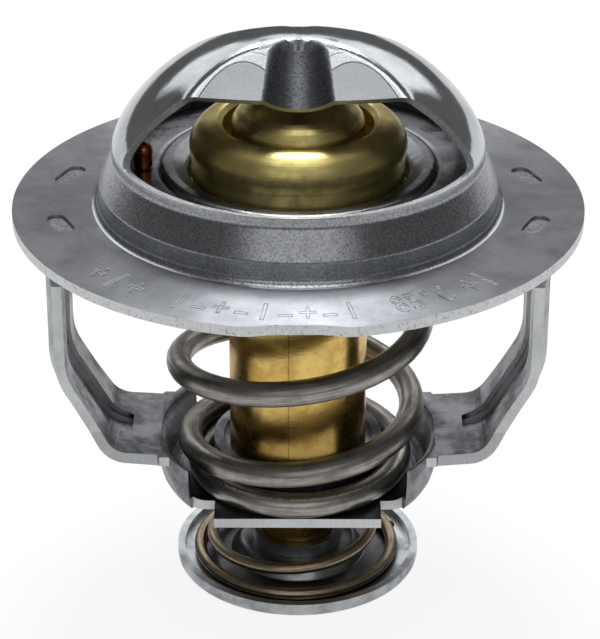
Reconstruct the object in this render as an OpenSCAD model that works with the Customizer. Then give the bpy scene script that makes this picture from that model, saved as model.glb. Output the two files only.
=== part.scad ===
// Wax engine thermostat with a bypass valve.
// The origin is the centre of the flange's underside, +Z towards the bridge.
// The bridge's strap and the frame's two arms run along X, and the front is -Y.
// Valve shown shut: the wax element slides down from here as it warms.

/* [Flange] */
// Outside diameter of the clamped flange
flange_d = 67; // [64:0.5:76]
// Thickness of the flange sheet
flange_t = 1.2; // [1:0.1:2]
// Width of the locating notch at the flange's front edge, at its mouth
notch_w = 11.2; // [6:0.2:16]
// Depth of the locating notch
notch_depth = 1.0; // [0.5:0.1:2]

/* [Bridge] */
// Outside diameter of the upper wall that carries the bridge
wall_d = 43.4; // [40:0.2:45]
// Thickness of the drawn wall and of the bridge's strap
wall_t = 0.9; // [0.7:0.1:1.2]
// Height of the crown above the flange's top face
bridge_h = 21; // [20:0.5:26]
// Height of the windows' lower rim above the flange's top face
rim_h = 7.4; // [7:0.1:9]
// Width of the bridge's strap, front to back
strap_w = 16; // [12:0.5:20]
// Width of the strap's flat crown, between its two sloping faces
crown_w = 4.8; // [3.6:0.2:6.4]
// Drop from the crown to the strap's edges
edge_drop = 4.9; // [4:0.1:5.6]
// Radius of the two pressed grooves that grip the piston's tip
groove_r = 4.5; // [3.8:0.1:5.4]
// Depth of the grooves at the strap's edges
groove_depth = 1.9; // [1.4:0.1:2.4]
// Step outwards from the upper wall to the lower wall
shoulder_step = 1.7; // [1.2:0.1:2.2]

/* [Main valve] */
// Thickness of the valve's sheet
valve_t = 0.8; // [0.6:0.1:1.2]
// Height of the valve's top face above the flange's underside
valve_top = 5.8; // [5.4:0.1:6.2]
// Travel of the wax element from shut to fully open
travel = 8; // [5:0.5:9]
// Radius from the axis to the air-vent pin
vent_r = 18.05; // [17.9:0.05:18.4]

/* [Wax element] */
// Outside diameter of the case's tube
case_d = 16.6; // [15:0.1:17]
// Outside diameter of the rolled bulb at the case's top
bulb_d = 25.4; // [24:0.1:26]
// Thickness of the brass case
case_t = 0.9; // [0.7:0.1:1.2]
// Height of the bulb's rolled lip above the flange's underside
bulb_top = 11.5; // [10.5:0.1:12]
// Diameter of the guide's domed cap
cap_d = 15.6; // [14:0.1:16]
// Diameter of the stem that carries the bypass valve
stem_d = 9; // [8:0.1:10]
// Diameter of the piston
piston_d = 4; // [3:0.1:5]

/* [Lower frame] */
// Thickness of the frame's sheet
frame_t = 1.2; // [1:0.1:1.5]
// Distance between the middles of the two upright arms
arm_span = 56.5; // [55:0.1:57]
// Width of each arm
arm_w = 13; // [11:0.5:14]
// Depth from the flange's underside to the top of the base plate
base_depth = 35.1; // [33:0.1:37]
// Width of the dished base, front to back
base_w = 16.6; // [15.6:0.2:19]
// Depth of the stiffening bead pressed outwards in each arm
bead_depth = 1.0; // [0.6:0.1:1.4]

/* [Springs] */
// Wire diameter of the main spring
main_wire = 3.1; // [2.4:0.1:3.2]
// Wire diameter of the bypass spring
bypass_wire = 1.5; // [1:0.1:1.8]

/* [Bypass valve] */
// Outside diameter of the bypass valve
bypass_d = 30; // [28:0.5:34]
// Thickness of the bypass valve's sheet
bypass_t = 0.9; // [0.7:0.1:1.2]
// Depth from the flange's underside to the bypass valve's lower face
overall_depth = 47.6; // [46.5:0.1:50]

/* [Hidden] */
$fn = 96;
eps = 0.01;

// Named clearances
slide_gap = 0.05;
close_gap = 0.1;
loose_gap = 0.2;

// Bridge and wall
flange_r = flange_d / 2;
upper_r = wall_d / 2;
lower_r = upper_r + shoulder_step;
seat_angle = 26.6;
base_fillet = 1.0;
lower_wall_top = flange_t + 2.6;
dome_base = flange_t + 7.2;
dome_rise = bridge_h + flange_t - dome_base;
dome_power = 0.684;
dome_steps = 22;
rim_z = flange_t + rim_h;
window_corner = 1.4;
crown_z = flange_t + bridge_h;
edge_y = strap_w / 2;
edge_z = crown_z - edge_drop;
roof_low = rim_z + 3.4;
groove_top_depth = 1;
groove_top_back = 1;

// Places of the four clinched tabs that hold the frame to the flange
tab_x = arm_span / 2 - 0.9;
tab_y = 7;
tab_l = 5.2;
tab_w = 2.3;
tab_turn = 65;
tab_recess = 0.35;
head_seat = 0.15;

// Main valve
seat_inner_r = upper_r + shoulder_step - wall_t;
seat_inner_z = lower_wall_top;
valve_r = seat_inner_r - (valve_top - seat_inner_z) * tan(seat_angle) - close_gap;
valve_cup_z = valve_top - 2.6;
valve_under = valve_top - valve_t;
vent_turn = 184.8;
vent_hole_r = 0.9;

// Wax element
case_r = case_d / 2;
case_bore_r = case_r - case_t;
bulb_r = bulb_d / 2;
bulb_bottom = valve_cup_z;
bulb_roll = 3.1;
lip_r = bulb_r - 3.9;
guide_flange_z = bulb_bottom + case_t + 1.1;
guide_flange_t = 2;
hub_top = bulb_top - 0.7;
cap_rise = 3.8;
guide_flange_r = bulb_r - case_t - slide_gap;
shoulder_z = -base_depth - frame_t - 1;
stem_r = stem_d / 2;
stem_end = -overall_depth + 0.3;
piston_r = piston_d / 2;
boot_r = piston_r + 1.6;
washer_r = piston_r + 1.4;
washer_t = 0.8;
boot_end = -22.8;
piston_end = boot_end + 2.2;
wax_floor = shoulder_z + case_t;

// Bypass valve and its clip
bypass_r = bypass_d / 2;
bypass_floor = -overall_depth + bypass_t / 2;
bypass_boss_h = 1.9;
bypass_boss_in = 2.4;
bypass_boss_out = 3.5;
clip_gap = 2.4;
bypass_boss = bypass_floor + bypass_boss_h;
clip_t = 0.6;
clip_z = bypass_boss - bypass_t / 2 - 0.25 - clip_t;
clip_groove_r = stem_r - 0.6;
clip_r = stem_r + 1.5;
bypass_stroke = 5;

// Springs: radii are of the wire's middle
main_wire_r = main_wire / 2;
main_bottom_z = -base_depth + main_wire_r;
main_top_z = valve_under - main_wire_r - loose_gap;
collar_r = case_r + 0.9;
main_bottom_r = collar_r + frame_t * 0.85 + main_wire_r + close_gap * 2;
main_top_r = bulb_r + valve_t + main_wire_r + close_gap * 2.5;
main_turns = 5.45;
main_closed = 0.8;
main_ramp = 1.5;
main_first_pitch = 2.2;
bypass_wire_r = bypass_wire / 2;
bypass_bottom_z = -overall_depth + bypass_t + bypass_wire_r;
bypass_top_z = shoulder_z - bypass_wire_r;
bypass_bottom_r = bypass_r - 2.8;
bypass_top_r = stem_r + 1.3 + bypass_wire_r;
front = 270;

// Lower frame
arm_x = arm_span / 2;
base_mid = -base_depth - frame_t / 2;
ledge_mid = base_mid + 6;
knee_z = ledge_mid + 10.3;
knee_x = arm_x - 5.65;
bowl_r = main_bottom_r + main_wire_r + 2.4;
ledge_r = bowl_r + 1.1;
tab_plate_w = 20;
ear_l = 3.2;
tab_plate_y = main_bottom_r + main_wire_r - 1;
arm_top_w = 18.6;

// Point on a circle
function polar(c, r, a) = [c[0] + r * cos(a), c[1] + r * sin(a)];

// Points along an arc, both ends included
function arc(c, r, a0, a1, n = 8) = [for (i = [0:n]) polar(c, r, a0 + (a1 - a0) * i / n)];

function unit(v) = v / norm(v);
function left_of(v) = [-v[1], v[0]];

// A path whose inner corners are rounded to the radii given, one for each corner
function rounded(p, radii, n = 6) = [
    p[0],
    for (i = [1:len(p) - 2])
        let (
            a = unit(p[i - 1] - p[i]),
            b = unit(p[i + 1] - p[i]),
            half = acos(a * b) / 2,
            reach = radii[i - 1] / tan(half),
            mid = p[i] + unit(a + b) * radii[i - 1] / sin(half),
            from = p[i] + a * reach - mid,
            to = p[i] + b * reach - mid,
            a0 = atan2(from[1], from[0]),
            turn = atan2(to[1], to[0]) - a0,
            sweep = turn > 180 ? turn - 360 : turn < -180 ? turn + 360 : turn
        )
        for (k = [0:n]) polar(mid, radii[i - 1], a0 + sweep * k / n),
    p[len(p) - 1]
];

// Side direction of a path at one point, stretched so that a sheet keeps its thickness
function side_at(p, i) =
    i == 0 ? left_of(unit(p[1] - p[0]))
    : i == len(p) - 1 ? left_of(unit(p[i] - p[i - 1]))
    : let (
        u = left_of(unit(p[i] - p[i - 1])),
        v = left_of(unit(p[i + 1] - p[i])),
        m = unit(u + v)
    ) m / (m * u);

// Closed outline between two offsets from a path
function ribbon(p, low, high) = concat(
    [for (i = [0:len(p) - 1]) p[i] + side_at(p, i) * high],
    [for (i = [len(p) - 1:-1:0]) p[i] + side_at(p, i) * low]
);

// Extrudes an outline drawn in X and Z, centred on Y
module along_y(width) {
    rotate([90, 0, 0])
        linear_extrude(height = width, center = true) children();
}

// Extrudes an outline drawn in Y and Z, centred on X
module along_x(length) {
    rotate([90, 0, 90])
        linear_extrude(height = length, center = true) children();
}

// Round wire swept along a coil: rings of points joined into one closed skin
module coil(rings, sides) {
    count = len(rings);
    points = [for (ring = rings) each ring];
    skin = [
        for (i = [0:count - 2])
            for (k = [0:sides - 1])
                let (a = i * sides + k, b = i * sides + (k + 1) % sides)
                each [[a, b, b + sides], [a, b + sides, a + sides]]
    ];
    start = [for (k = [sides - 1:-1:0]) k];
    finish = [for (k = [0:sides - 1]) (count - 1) * sides + k];
    polyhedron(points = points, faces = concat([start], skin, [finish]), convexity = 10);
}

// One ring of wire round the point at an angle, a radius and a height
function wire_ring(angle, radius, height, wire_r, sides) = [
    for (k = [0:sides - 1])
        let (r = radius + wire_r * cos(360 * k / sides))
        [r * cos(angle), r * sin(angle), height + wire_r * sin(360 * k / sides)]
];

// Bridge and flange: one deep-drawn pressing

// Height of the dome at a distance from its axis
function dome_z(r, outer_r, rise) =
    dome_base + rise * pow(max(0, 1 - pow(r / outer_r, 2)), dome_power);

// The wall's outside, from the flange's edge up to the dome and back to the axis
function outer_wall() = concat(
    [[0, 0], [flange_r, 0], [flange_r, flange_t]],
    arc([lower_r + base_fillet, flange_t + base_fillet], base_fillet, 270, 180),
    arc([lower_r - wall_t, lower_wall_top], wall_t, 0, seat_angle, 4),
    arc([upper_r + 1.2, dome_base - 0.7], 1.2, 180 + seat_angle, 180, 4),
    [for (i = [0:dome_steps])
        let (r = upper_r * cos(90 * i / dome_steps))
        [r, dome_z(r, upper_r, dome_rise)]]
);

// The wall's inside, with the cone that the main valve shuts against
function inner_wall() = concat(
    [[0, -eps], [lower_r + base_fillet, -eps]],
    arc([lower_r + base_fillet, wall_t + base_fillet], wall_t + base_fillet, 270, 180),
    [[seat_inner_r, seat_inner_z]],
    arc([upper_r + 1.2, dome_base - 0.7], 1.2 + wall_t, 180 + seat_angle, 180, 4),
    [for (i = [0:dome_steps])
        let (r = (upper_r - wall_t) * cos(90 * i / dome_steps))
        [r, dome_z(r, upper_r - wall_t, dome_rise - wall_t)]]
);

// Slope of the strap's two flattened faces
face_top = dome_z(crown_w / 2, upper_r, dome_rise);
face_slope = atan((face_top - edge_z) / (edge_y - crown_w / 2));

// Everything under the two sloping faces, and the whole wall below them
module under_slopes(drop) {
    peak = face_top + tan(face_slope) * crown_w / 2 - drop / cos(face_slope);
    low_y = (peak - roof_low) / tan(face_slope);
    far = flange_r + 2;
    rotate([90, 0, 90])
        linear_extrude(height = 2 * far, center = true)
            polygon([[-far, -20], [far, -20], [far, roof_low], [low_y, roof_low], [0, peak],
                     [-low_y, roof_low], [-far, roof_low]]);
}

// Bottom line of a groove, in Y and Z: shallow under the crown's edge, deep at the strap's edge
function into_face(start, along, depth) =
    start + along * [cos(face_slope), -sin(face_slope)] - depth * [sin(face_slope), cos(face_slope)];
groove_high = into_face([crown_w / 2, face_top], groove_top_back, groove_top_depth);
groove_low = into_face([edge_y, edge_z], 0, groove_depth);
groove_run = groove_low - groove_high;
groove_slope = atan2(-groove_run[1], groove_run[0]);

// The tool that presses one groove; extra gives the same groove on the sheet's inside
module groove_tool(extra) {
    translate([0, -groove_high[0], groove_high[1]])
        rotate([90 + groove_slope, 0, 0])
            translate([0, groove_r, -extra])
                cylinder(r = groove_r + extra, h = norm(groove_run) + 6 + extra);
}

// One side of the bridge as a solid: the dome, flattened by the two slopes and grooved
module bridge_form(points, extra) {
    difference() {
        intersection() {
            rotate_extrude() polygon(points);
            under_slopes(extra);
        }
        groove_tool(extra);
        mirror([0, 1, 0]) groove_tool(extra);
    }
}

// Outline of one window, in Y and Z: what the die removes beside the strap
module window_outline() {
    out = [sin(face_slope), cos(face_slope)];
    cut = [edge_y, edge_z];
    polygon(concat(
        [[flange_r, rim_z], [flange_r, crown_z + 5], cut + 12 * out, cut, cut - 1.3 * wall_t * out,
         [edge_y - 0.7, edge_z - 2.4], [edge_y - 0.35, edge_z - 4.4], [edge_y, edge_z - 6.4]],
        arc([edge_y + window_corner, rim_z + window_corner], window_corner, 180, 270, 6)
    ));
}

// Trims a groove's lip square to the strap's face, in Y and Z
module lip_trim() {
    out = [sin(face_slope), cos(face_slope)];
    along = [cos(face_slope), -sin(face_slope)];
    cut = [edge_y, edge_z];
    deep = cut - (groove_depth + 2 * wall_t) * out;
    polygon([cut + wall_t * out, deep, deep + 5 * along, cut + wall_t * out + 5 * along]);
}

// Rounded slot or tab, long side along X
module stadium(length, width) {
    square([length - width, width], center = true);
    for (s = [-1, 1]) translate([s * (length - width) / 2, 0]) circle(d = width, $fn = 32);
}

// Puts a shape at each of the four clinched tabs
module at_tabs() {
    for (sx = [-1, 1], sy = [-1, 1])
        translate([sx * tab_x, sy * tab_y, 0]) rotate([0, 0, -sx * sy * tab_turn]) children();
}

module notch_outline() {
    polygon([
        [-notch_w / 2, -flange_r - 1], [-notch_w / 2, -sqrt(pow(flange_r, 2) - pow(notch_w / 2, 2))],
        [-notch_w / 4, -flange_r + notch_depth], [notch_w / 4, -flange_r + notch_depth],
        [notch_w / 2, -sqrt(pow(flange_r, 2) - pow(notch_w / 2, 2))], [notch_w / 2, -flange_r - 1]
    ]);
}

module bridge_flange() {
    color([0.62, 0.64, 0.67])
    difference() {
        bridge_form(outer_wall(), 0);
        bridge_form(inner_wall(), wall_t);
        along_x(flange_d) window_outline();
        along_x(flange_d) mirror([1, 0]) window_outline();
        along_x(2 * groove_r) lip_trim();
        along_x(2 * groove_r) mirror([1, 0]) lip_trim();
        translate([0, 0, -1]) linear_extrude(height = flange_t + 2) notch_outline();
        translate([0, 0, -1]) linear_extrude(height = flange_t + 2) at_tabs() stadium(tab_l, tab_w);
        arm_seats();
    }
}

// Shallow seats coined in the flange's underside, where the arms' heads are driven up against it
module arm_seats() {
    for (s = [-1, 1])
        translate([s * arm_x, 0, head_seat / 2 - 1])
            cube([frame_t + loose_gap, arm_top_w + 2 * loose_gap, 2 + head_seat], center = true);
}

// Lower frame: one strip with a dished base, two beaded arms and four clinched tabs

function arm_path() = rounded(
    [[arm_x, head_seat], [arm_x, knee_z], [knee_x, ledge_mid + 0.4], [ledge_r - 0.3, ledge_mid]], [8, 3.5]);

function bead_path() = rounded(
    [[arm_x, -5], [arm_x, knee_z], [knee_x, ledge_mid + 0.4], [ledge_r + 3.2, ledge_mid + 0.25]],
    [8, 3.5]);

function bowl_path() = rounded(
    [[collar_r + frame_t * 0.42, base_mid + 5.4], [collar_r + frame_t * 0.42, base_mid],
     [bowl_r, base_mid], [ledge_r, ledge_mid], [ledge_r + 1.6, ledge_mid]], [0.9, 2.6, 0.9]);

// Width of an arm down its length: a wide head for the tabs, then the strap
module arm_outline() {
    wide = arm_top_w / 2;
    slim = arm_w / 2;
    foot = base_w / 2;
    side = [[wide, -3.6], [slim, -7.2], [slim, knee_z - 4], [slim + 0.4, knee_z - 7],
            [foot, ledge_mid - frame_t], [foot, -60]];
    polygon(concat(
        [[-wide, 1]], [for (p = side) [-p[0], p[1]]],
        [for (i = [len(side) - 1:-1:0]) side[i]], [[wide, 1]]
    ));
}

// Plan of a bead: open at the arm's head, round at its foot
module bead_plan(width) {
    round_x = ledge_r + 2.4 + width / 2;
    translate([round_x, 0]) circle(d = width, $fn = 48);
    translate([round_x + 20, 0]) square([40, width], center = true);
}

// One level of a bead, between two offsets from the sheet's middle
module bead_level(width, low, high) {
    intersection() {
        along_y(width + 2) polygon(ribbon(bead_path(), low, high));
        translate([0, 0, -60]) linear_extrude(height = 60) bead_plan(width);
    }
}

module arm() {
    bead_w = arm_w * 0.54;
    difference() {
        union() {
            intersection() {
                along_y(arm_top_w) polygon(ribbon(arm_path(), -frame_t / 2, frame_t / 2));
                translate([arm_x - 10, 0, 0]) along_x(60) arm_outline();
            }
            bead_level(bead_w, 0, (frame_t + bead_depth) / 2);
            bead_level(bead_w * 0.72, 0, frame_t / 2 + bead_depth);
        }
        bead_level(bead_w * 0.74, -frame_t, (bead_depth - frame_t) / 2);
        bead_level(bead_w * 0.46, -frame_t, bead_depth - frame_t / 2);
    }
}

// Plan of the bowl: the strip, the collar, and four ears where the wall runs on round the spring
module bowl_outline() {
    square([2 * ledge_r + 3, base_w], center = true);
    circle(r = main_bottom_r);
    intersection() {
        circle(r = ledge_r + 0.5);
        for (sx = [-1, 1], sy = [-1, 1])
            polygon([
                [sx * (bowl_r - 3.3), sy * base_w / 2 - sy * eps],
                [sx * (bowl_r - 2.9), sy * (base_w / 2 + ear_l)],
                [sx * (ledge_r + 1), sy * base_w / 2 - sy * eps]
            ]);
    }
}

module lower_frame() {
    color([0.6, 0.62, 0.64]) {
        intersection() {
            rotate_extrude() polygon(ribbon(bowl_path(), -frame_t / 2, frame_t / 2));
            translate([0, 0, -60]) linear_extrude(height = 60) bowl_outline();
        }
        translate([0, 0, base_mid - frame_t / 2])
            linear_extrude(height = frame_t)
                difference() {
                    square([tab_plate_w, 2 * tab_plate_y], center = true);
                    circle(r = collar_r + frame_t * 1.1);
                }
        arm();
        mirror([1, 0, 0]) arm();
        translate([0, 0, -0.5])
            linear_extrude(height = 0.5 + flange_t - tab_recess)
                at_tabs() stadium(tab_l - 2 * close_gap, tab_w - 2 * close_gap);
    }
}

// Piston: fixed under the crown, while the element slides down along it
module piston() {
    tip_z = crown_z - wall_t - 0.4;
    color([0.75, 0.76, 0.78])
    rotate_extrude() polygon([
        [0, piston_end], [piston_r - 0.3, piston_end], [piston_r, piston_end + 0.3],
        [piston_r, tip_z - 2.6], [0.9, tip_z - 0.2], [0.6, tip_z], [0, tip_z]
    ]);
}

// Main valve: a pressed disc with a cup for the bulb, a ridge and a groove
function valve_path() = rounded([
    [case_r + close_gap, valve_cup_z - valve_t / 2],
    [bulb_r + close_gap + valve_t / 2, valve_cup_z - valve_t / 2],
    [bulb_r + close_gap + valve_t / 2, valve_top - valve_t / 2 - 0.2],
    [bulb_r + valve_t * 2.5, valve_top + 0.45 - valve_t / 2],
    [bulb_r + valve_t * 3.75, valve_top + 0.45 - valve_t / 2],
    [bulb_r + valve_t * 4.4, valve_top - 0.35 - valve_t / 2],
    [bulb_r + valve_t * 5, valve_top - valve_t / 2],
    [valve_r - 0.4, valve_top - valve_t / 2]
], [0.5, 0.45, 0.5, 0.4, 0.2, 0.4], 4);

module main_valve() {
    color([0.5, 0.52, 0.55])
    difference() {
        union() {
            rotate_extrude() polygon(ribbon(valve_path(), -valve_t / 2, valve_t / 2));
            translate([0, 0, valve_under])
                difference() {
                    cylinder(r1 = valve_r + valve_t * tan(seat_angle) - 0.2, r2 = valve_r, h = valve_t);
                    translate([0, 0, -1]) cylinder(r = valve_r - 0.5, h = valve_t + 2);
                }
        }
        rotate([0, 0, vent_turn]) translate([vent_r, 0, 0])
            cylinder(r = vent_hole_r, h = 20, $fn = 32);
    }
}

// Air-vent pin: a loose pin with a bulb at each end of its shank
module vent_pin() {
    bulb_w = 1.15;
    bulb_h = 3.4;
    shank_r = 0.55;
    ball_r = 1.05;
    ball_z = valve_under - ball_r - 2.2;
    color([0.62, 0.32, 0.2])
    rotate([0, 0, vent_turn]) translate([vent_r, 0, 0])
    rotate_extrude($fn = 32) polygon(concat(
        [[0, ball_z - ball_r]],
        arc([0, ball_z], ball_r, -80, 58, 8),
        [[shank_r, valve_top + 0.05], [bulb_w * 0.8, valve_top + 0.05],
         [bulb_w * 0.92, valve_top + 0.3], [bulb_w * 0.95, valve_top + 0.8]],
        [for (a = [-15:13:76])
            [bulb_w * cos(a), valve_top + bulb_h * 0.58 + bulb_h * 0.42 * sin(a)]],
        [[0, valve_top + bulb_h]]
    ));
}

// Wax element

function case_outside() = concat(
    [[0, stem_end], [stem_r - 0.3, stem_end], [stem_r, stem_end + 0.3],
     [stem_r, clip_z - 0.05], [clip_groove_r, clip_z - 0.05],
     [clip_groove_r, clip_z + clip_t + 0.05], [stem_r, clip_z + clip_t + 0.05],
     [stem_r, shoulder_z]],
    arc([case_r - 0.8, shoulder_z + 0.8], 0.8, -90, 0, 4),
    [[case_r, bulb_bottom]],
    arc([bulb_r - 1.9, bulb_bottom + 1.7], 1.7, -90, 0, 6),
    [[bulb_r - 0.24, bulb_top - 5.6], [bulb_r - 0.26, bulb_top - 5], [bulb_r - 0.2, bulb_top - 4.5],
     [bulb_r - 0.09, bulb_top - 4]],
    arc([bulb_r - bulb_roll, bulb_top - bulb_roll], bulb_roll, -6, 90, 16)
);

function case_inside() = concat(
    [[lip_r + 0.5, bulb_top - 0.08], [lip_r, bulb_top - 0.55], [lip_r + 0.35, bulb_top - 0.95]],
    arc([bulb_r - bulb_roll, bulb_top - bulb_roll], bulb_roll - case_t, 90, 0, 8),
    [[bulb_r - case_t - 0.1, bulb_bottom + case_t], [case_bore_r, bulb_bottom + case_t],
     [case_bore_r, wax_floor], [0, wax_floor]]
);

module wax_case() {
    color([0.78, 0.63, 0.3])
    rotate_extrude() polygon(concat(case_outside(), case_inside()));
}

module guide_cap() {
    hub_r = cap_d / 2;
    color([0.8, 0.66, 0.34])
    rotate_extrude() polygon(concat(
        [[piston_r + slide_gap, guide_flange_z + washer_t], [washer_r + slide_gap, guide_flange_z + washer_t],
         [washer_r + slide_gap, guide_flange_z], [guide_flange_r - 0.1, guide_flange_z],
         [guide_flange_r - 0.1, guide_flange_z + guide_flange_t], [hub_r, guide_flange_z + guide_flange_t]],
        [for (i = [0:9])
            [hub_r * cos(7.6 * i), hub_top + cap_rise * sin(7.6 * i)]],
        [[piston_r + slide_gap + 0.25, hub_top + cap_rise * 0.97],
         [piston_r + slide_gap, hub_top + cap_rise * 0.93]]
    ));
}

// Hard washer that keeps the boot out of the guide's bore
module boot_washer() {
    color([0.9, 0.89, 0.85])
    translate([0, 0, guide_flange_z])
    difference() {
        cylinder(r = washer_r, h = washer_t);
        translate([0, 0, -1]) cylinder(r = piston_r + slide_gap, h = washer_t + 2);
    }
}

// Rubber boot: a closed sleeve round the piston, squeezed by the wax
module rubber_boot() {
    color([0.12, 0.12, 0.12])
    rotate_extrude() polygon([
        [piston_r + slide_gap, boot_end + 2.1], [piston_r + slide_gap, guide_flange_z],
        [guide_flange_r - 0.1, guide_flange_z], [guide_flange_r - 0.1, bulb_bottom + case_t],
        [boot_r, bulb_bottom + case_t], [boot_r, boot_end + 0.6], [boot_r - 0.6, boot_end],
        [0, boot_end], [0, boot_end + 2.1]
    ]);
}

module wax_charge() {
    color([0.75, 0.6, 0.42])
    difference() {
        translate([0, 0, wax_floor + slide_gap])
            cylinder(r = case_bore_r - slide_gap, h = bulb_bottom + case_t - wax_floor - 2 * slide_gap);
        translate([0, 0, boot_end - slide_gap]) cylinder(r = boot_r + slide_gap, h = 60);
    }
}

// Springs

// Share of the open turns' pitch reached at a turn, counted from the closed bottom turn
function main_rise(n) =
    n <= 0 ? 0
    : n < main_ramp ? main_first_pitch * n + (main_pitch - main_first_pitch) * n * n / (2 * main_ramp)
    : (main_first_pitch + main_pitch) * main_ramp / 2 + main_pitch * (n - main_ramp);

main_open = main_turns - 2 * main_closed;
main_pitch = (main_top_z - main_bottom_z - main_first_pitch * main_ramp / 2)
    / (main_open - main_ramp / 2);

// The coil widens upwards, from the base's collar to the valve's cup
function main_coil_r(n) =
    main_bottom_r + (main_top_r - main_bottom_r) * (1 - pow(1 - min(1, max(0, n / main_open)), 2.2));

module main_spring() {
    sides = 10;
    steps = 26;
    color([0.4, 0.39, 0.37])
    coil([
        for (i = [0:round(main_turns * steps)])
            let (n = i / steps - main_closed)
            wire_ring(front + 360 * n, main_coil_r(n),
                      min(main_top_z, main_bottom_z + main_rise(n)), main_wire_r - slide_gap / 2, sides)
    ], sides);
}

// Lies flat on the bypass valve, then climbs and narrows to the case's shoulder
module bypass_spring() {
    sides = 8;
    steps = 24;
    turns = 2;
    closed = 0.7;
    color([0.52, 0.46, 0.38])
    coil([
        for (i = [0:round((turns + 2 * closed) * steps)])
            let (
                n = min(turns, max(0, i / steps - closed)),
                share = n / turns
            )
            wire_ring(front + 360 * (i / steps - closed),
                      bypass_bottom_r - (bypass_bottom_r - bypass_top_r) * (0.6 * share + 0.4 * pow(share, 2)),
                      bypass_bottom_z + (bypass_top_z - bypass_bottom_z) * (0.15 * share + 0.85 * pow(share, 2)),
                      bypass_wire_r - slide_gap / 2, sides)
    ], sides);
}

// Bypass valve: a dish with a turned-up rim and a raised middle that slides on the stem
function bypass_path() = rounded([
    [stem_r + close_gap + bypass_t / 2, bypass_boss + bypass_boss_h],
    [stem_r + close_gap + bypass_t / 2, bypass_boss],
    [stem_r + bypass_boss_in, bypass_boss],
    [stem_r + bypass_boss_out, bypass_floor],
    [bypass_r - bypass_t / 2, bypass_floor],
    [bypass_r - bypass_t / 2, bypass_floor + bypass_t / 2 + 1]
], [0.5, 0.7, 0.7, 0.5], 4);

module bypass_valve() {
    color([0.6, 0.62, 0.65])
    rotate_extrude() polygon(ribbon(bypass_path(), -bypass_t / 2, bypass_t / 2));
}

// Split ring in the stem's groove, which keeps the bypass valve on
module stem_clip() {
    color([0.35, 0.36, 0.38])
    translate([0, 0, clip_z])
    linear_extrude(height = clip_t)
    difference() {
        circle(r = clip_r);
        circle(r = clip_groove_r + slide_gap);
        translate([0, clip_r]) square([clip_gap, 2 * clip_r], center = true);
    }
}

bridge_flange();
lower_frame();
piston();
main_valve();
wax_case();
guide_cap();
boot_washer();
rubber_boot();
wax_charge();
vent_pin();
main_spring();
bypass_spring();
bypass_valve();
stem_clip();
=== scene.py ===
"""Looks of a wax element thermostat: metal finishes, wound springs, stamped marks, light and camera.

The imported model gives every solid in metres: the origin is the centre of the flange's underside,
Z runs up the axis and the photographed front is -Y. Sizes below are in millimetres unless a name
says otherwise.
"""

from __future__ import annotations

import logging
import math
from dataclasses import dataclass
from enum import Enum
from typing import Any, Callable

import bmesh
import bpy
from mathutils import Matrix, Vector

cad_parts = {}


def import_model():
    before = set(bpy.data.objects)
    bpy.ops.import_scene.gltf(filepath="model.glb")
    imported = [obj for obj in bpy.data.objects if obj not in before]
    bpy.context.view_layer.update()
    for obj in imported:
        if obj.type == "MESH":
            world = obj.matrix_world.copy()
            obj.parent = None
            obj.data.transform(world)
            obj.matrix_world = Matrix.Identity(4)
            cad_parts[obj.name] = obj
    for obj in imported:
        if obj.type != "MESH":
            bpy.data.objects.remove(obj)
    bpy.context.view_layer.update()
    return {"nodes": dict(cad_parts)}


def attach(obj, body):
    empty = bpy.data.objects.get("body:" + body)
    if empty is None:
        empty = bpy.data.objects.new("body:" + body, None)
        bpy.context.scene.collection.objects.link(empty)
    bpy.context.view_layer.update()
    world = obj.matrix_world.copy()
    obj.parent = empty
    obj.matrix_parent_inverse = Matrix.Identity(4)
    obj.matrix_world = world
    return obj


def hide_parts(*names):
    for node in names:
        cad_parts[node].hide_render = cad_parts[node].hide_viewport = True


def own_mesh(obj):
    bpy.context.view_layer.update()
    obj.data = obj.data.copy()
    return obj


Socket = bpy.types.NodeSocket
Material = bpy.types.Material
LOG = logging.getLogger("thermostat")
MM = 0.001


class Body(str, Enum):
    """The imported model's bodies that carry a piece made here."""

    FRAME = "frame"
    ELEMENT = "element"


class Joint(str, Enum):
    """The joints named with each spring."""

    ELEMENT_SLIDE = "element_slide"
    BYPASS_SLIDE = "bypass_slide"


def linear(hex_colour: str) -> tuple[float, float, float, float]:
    """Turns an sRGB hex colour to linear RGBA.

    Args:
        hex_colour: six hex digits, with or without a leading #.

    Returns:
        The linear red, green, blue and an alpha of 1.
    """
    digits = hex_colour.lstrip("#")
    channels = [int(digits[i:i + 2], 16) / 255 for i in (0, 2, 4)]
    made = [c / 12.92 if c <= 0.04045 else ((c + 0.055) / 1.055) ** 2.4 for c in channels]
    return (made[0], made[1], made[2], 1.0)


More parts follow.
